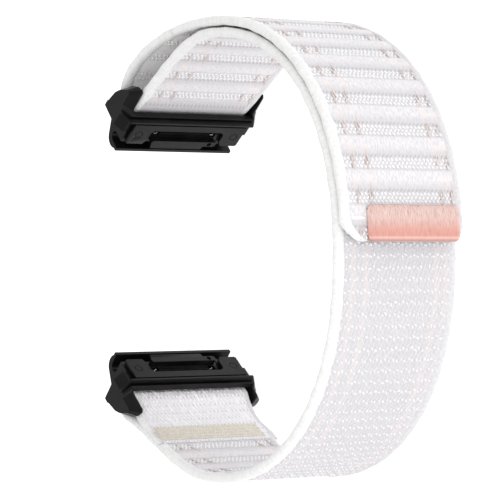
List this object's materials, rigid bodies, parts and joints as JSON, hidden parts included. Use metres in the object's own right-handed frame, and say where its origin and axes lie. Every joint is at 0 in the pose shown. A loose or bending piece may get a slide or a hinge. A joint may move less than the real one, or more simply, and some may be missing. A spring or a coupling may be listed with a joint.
{
  "type": "watch strap",
  "caption": "Woven nylon watch strap closed into a loop by a hook-and-loop tail with a pull tab, with a hinged quick-release adapter at each end.",
  "frame": {"origin": "middle of the closed strap's bounding box, on the surface that it lies on", "axes": "+X towards the upper adapter, +Y from the front of the loop towards the adapters, +Z across the webbing"},
  "size_m": [0.0826, 0.075, 0.0299],
  "materials": {
    "white_nylon": "matt ribbed weave",
    "beige_thread": "matt zigzag stitching",
    "hook_tape": "fine moulded hooks",
    "coral_satin": "satin ribbon",
    "black_coating": "satin black coating",
    "bar_steel": "turned steel",
    "spring_wire": "drawn wire"
  },
  "bodies": {
    "strap": {"band": "white_nylon", "end_stitching": "beige_thread"},
    "tail": {"tail": "white_nylon"},
    "tail_end": {"tail_end": "white_nylon", "hook_patch": "hook_tape", "pull_tab": "coral_satin"},
    "upper_adapter": {"upper_frame": "black_coating", "upper_strap_bar": "bar_steel", "upper_cover": "black_coating", "upper_rivet_left": "black_coating", "upper_rivet_right": "black_coating", "upper_spring_left": "spring_wire", "upper_spring_right": "spring_wire"},
    "upper_slider": {"upper_release_slider": "black_coating"},
    "lower_adapter": {"lower_frame": "black_coating", "lower_strap_bar": "bar_steel", "lower_cover": "black_coating", "lower_rivet_left": "black_coating", "lower_rivet_right": "black_coating", "lower_spring_left": "spring_wire", "lower_spring_right": "spring_wire"},
    "lower_slider": {"lower_release_slider": "black_coating"}
  },
  "joints": [
    {"name": "upper_adapter_hinge", "type": "hinge", "parent": "strap", "child": "upper_adapter", "pos_m": [0.02805, 0.03115, 0.01495], "axis": [0, 0, 1], "range_deg": [-15, 15]},
    {"name": "lower_adapter_hinge", "type": "hinge", "parent": "strap", "child": "lower_adapter", "pos_m": [-0.02891, 0.03115, 0.01495], "axis": [0, 0, 1], "range_deg": [-15, 15]},
    {"name": "tail_hinge", "type": "hinge", "parent": "strap", "child": "tail", "pos_m": [0.02808, 0.03415, 0.01495], "axis": [0, 0, 1], "range_deg": [0, 40]},
    {"name": "tail_end_hinge", "type": "hinge", "parent": "tail", "child": "tail_end", "pos_m": [0.0336, -0.02092, 0.01495], "axis": [0, 0, 1], "range_deg": [0, 60]},
    {"name": "upper_slider_slide", "type": "slide", "parent": "upper_adapter", "child": "upper_slider", "axis": [0.6428, -0.766, 0], "range_m": [0, 0.0018], "stiffness_N_per_m": 100, "springref_m": -0.003, "deforming": ["upper_spring_left", "upper_spring_right"]},
    {"name": "lower_slider_slide", "type": "slide", "parent": "lower_adapter", "child": "lower_slider", "axis": [-0.6428, -0.766, 0], "range_m": [0, 0.0018], "stiffness_N_per_m": 100, "springref_m": -0.003, "deforming": ["lower_spring_left", "lower_spring_right"]}
  ]
}
